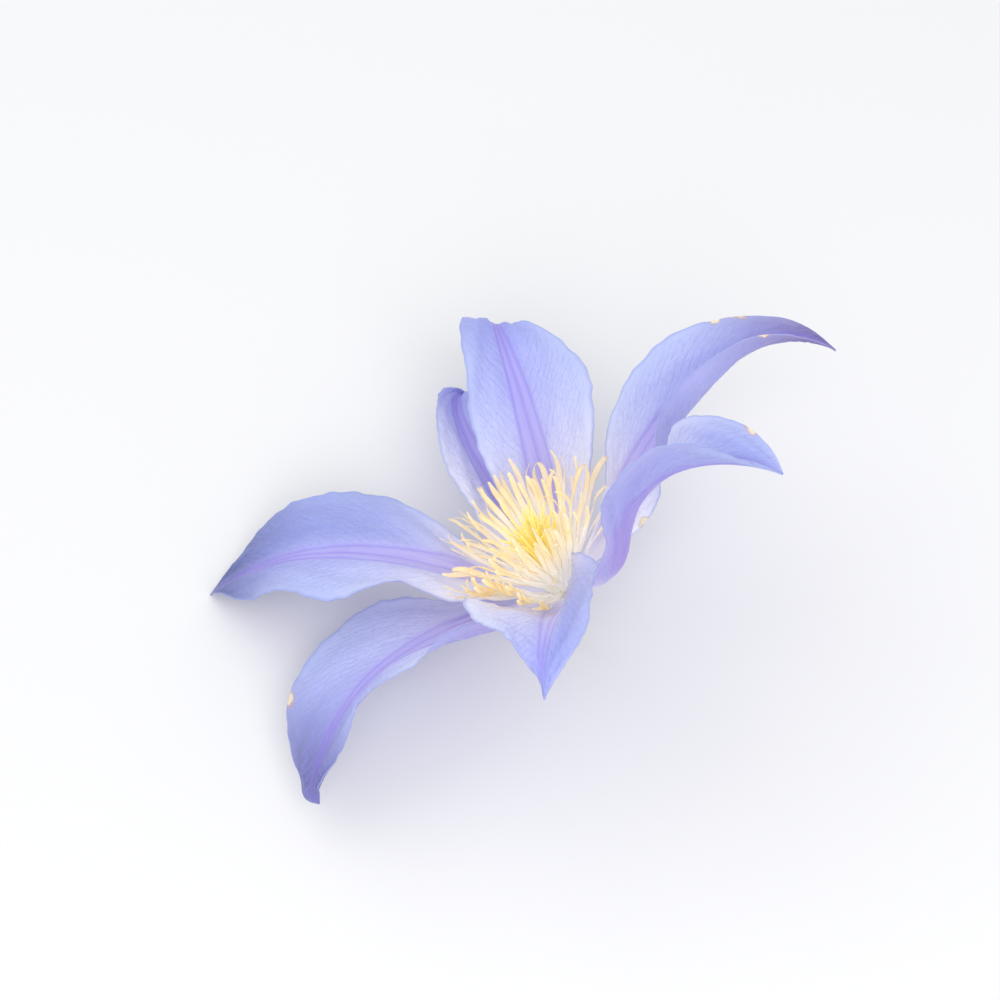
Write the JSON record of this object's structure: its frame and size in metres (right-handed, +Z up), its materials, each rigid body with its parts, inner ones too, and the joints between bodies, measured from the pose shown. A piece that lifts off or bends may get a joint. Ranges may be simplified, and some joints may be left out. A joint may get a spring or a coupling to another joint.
{
  "type": "clematis flower",
  "caption": "Open pale blue-violet clematis flower with a short cut stalk, lying on a surface: waved sepals round a crown of cream stamens and a golden tuft of styles.",
  "frame": {"origin": "centre of the flower's box on the surface it lies on", "axes": "+Z up from the surface, +Y away from the side that the flower is seen from, +X to that viewer's right"},
  "size_m": [0.1302, 0.1062, 0.0706],
  "materials": {
    "sepal": "soft satin petal, blue-violet with violet bars along the midrib, faintly translucent",
    "stamen": "cream filaments with yellow anthers, soft and matte",
    "style": "golden yellow, soft and matte",
    "stalk": "green plant stalk with a dull waxy surface"
  },
  "bodies": {
    "root": {"sepal_back": "sepal", "sepal_back_left": "sepal", "sepal_left": "sepal", "sepal_left_front": "sepal", "sepal_front": "sepal", "sepal_right_front": "sepal", "sepal_right": "sepal", "stamens": "stamen", "styles": "style", "receptacle": "stalk"}
  },
  "joints": []
}
